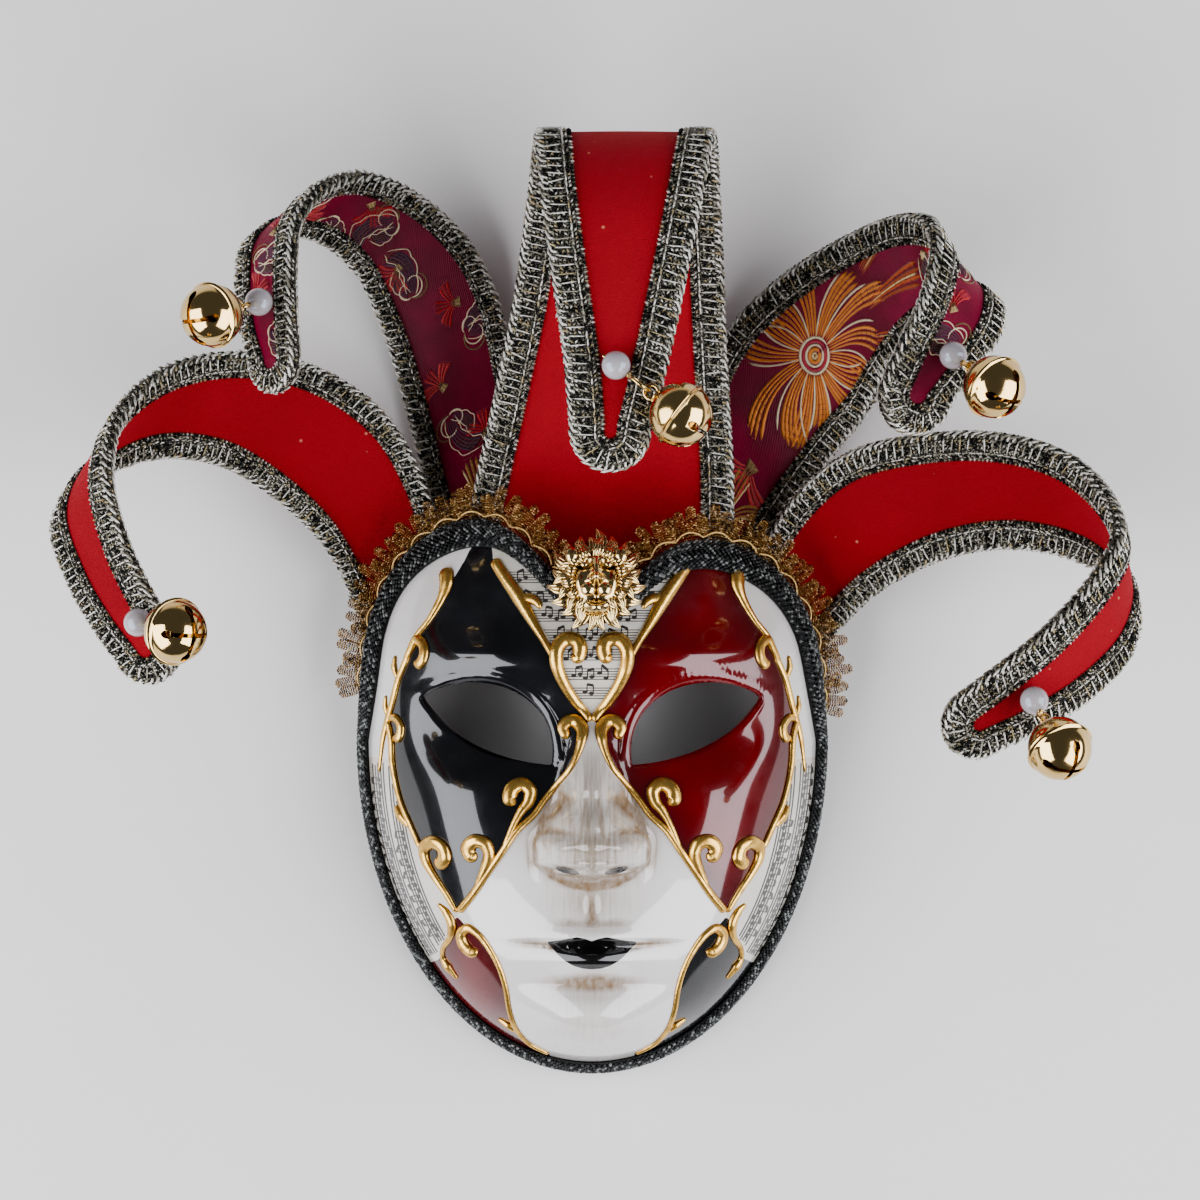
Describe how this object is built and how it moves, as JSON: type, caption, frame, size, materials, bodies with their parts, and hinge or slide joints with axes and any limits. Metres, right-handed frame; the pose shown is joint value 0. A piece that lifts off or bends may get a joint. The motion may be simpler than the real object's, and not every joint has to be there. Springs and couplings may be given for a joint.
{
  "type": "full face carnival mask",
  "caption": "Hollow full face jester mask with gilded scrolls, a braided and laced edge, a lion's head at the brow and curled velvet and brocade horns that end in pearls and jingle bells.",
  "frame": {"origin": "middle of the plane of the rim, where the wearer's face goes in", "axes": "+Z out of the face, away from the wearer; +Y from the chin to the crown; +X to the right of someone who looks at the face"},
  "size_m": [0.3898, 0.3417, 0.1515],
  "materials": {
    "lacquer": "glossy lacquer over paint, white, black and red quarters with music paper",
    "gilding": "old gold paint over raised paste",
    "black_braid": "black gimp braid with a dull sheen",
    "silver_braid": "silver and black metallic braid",
    "gold_lace": "old gold metallic lace",
    "velvet": "short red velvet pile",
    "brocade": "burgundy satin brocade with woven flowers",
    "pearl": "nacre coating",
    "bell_gold": "polished gold plating"
  },
  "bodies": {
    "root": {"face_shell": "lacquer", "scroll_brow_right": "gilding", "scroll_brow_left": "gilding", "scroll_nose_right": "gilding", "scroll_nose_left": "gilding", "scroll_chin_right": "gilding", "scroll_chin_left": "gilding", "scroll_temple_right": "gilding", "scroll_temple_left": "gilding", "face_braid": "black_braid", "gold_lace": "gold_lace", "horn_mid": "velvet", "horn_braid_mid": "silver_braid", "horn_low_left": "velvet", "horn_braid_low_left": "silver_braid", "horn_low_right": "velvet", "horn_braid_low_right": "silver_braid", "horn_top_left": "brocade", "horn_braid_top_left": "silver_braid", "horn_top_right": "brocade", "horn_braid_top_right": "silver_braid", "pearl_mid": "pearl", "bell_wire_mid": "bell_gold", "bell_mid": "bell_gold", "pearl_low_left": "pearl", "bell_wire_low_left": "bell_gold", "bell_low_left": "bell_gold", "pearl_low_right": "pearl", "bell_wire_low_right": "bell_gold", "bell_low_right": "bell_gold", "pearl_top_left": "pearl", "bell_wire_top_left": "bell_gold", "bell_top_left": "bell_gold", "pearl_top_right": "pearl", "bell_wire_top_right": "bell_gold", "bell_top_right": "bell_gold", "lion_head": "bell_gold"}
  },
  "joints": []
}
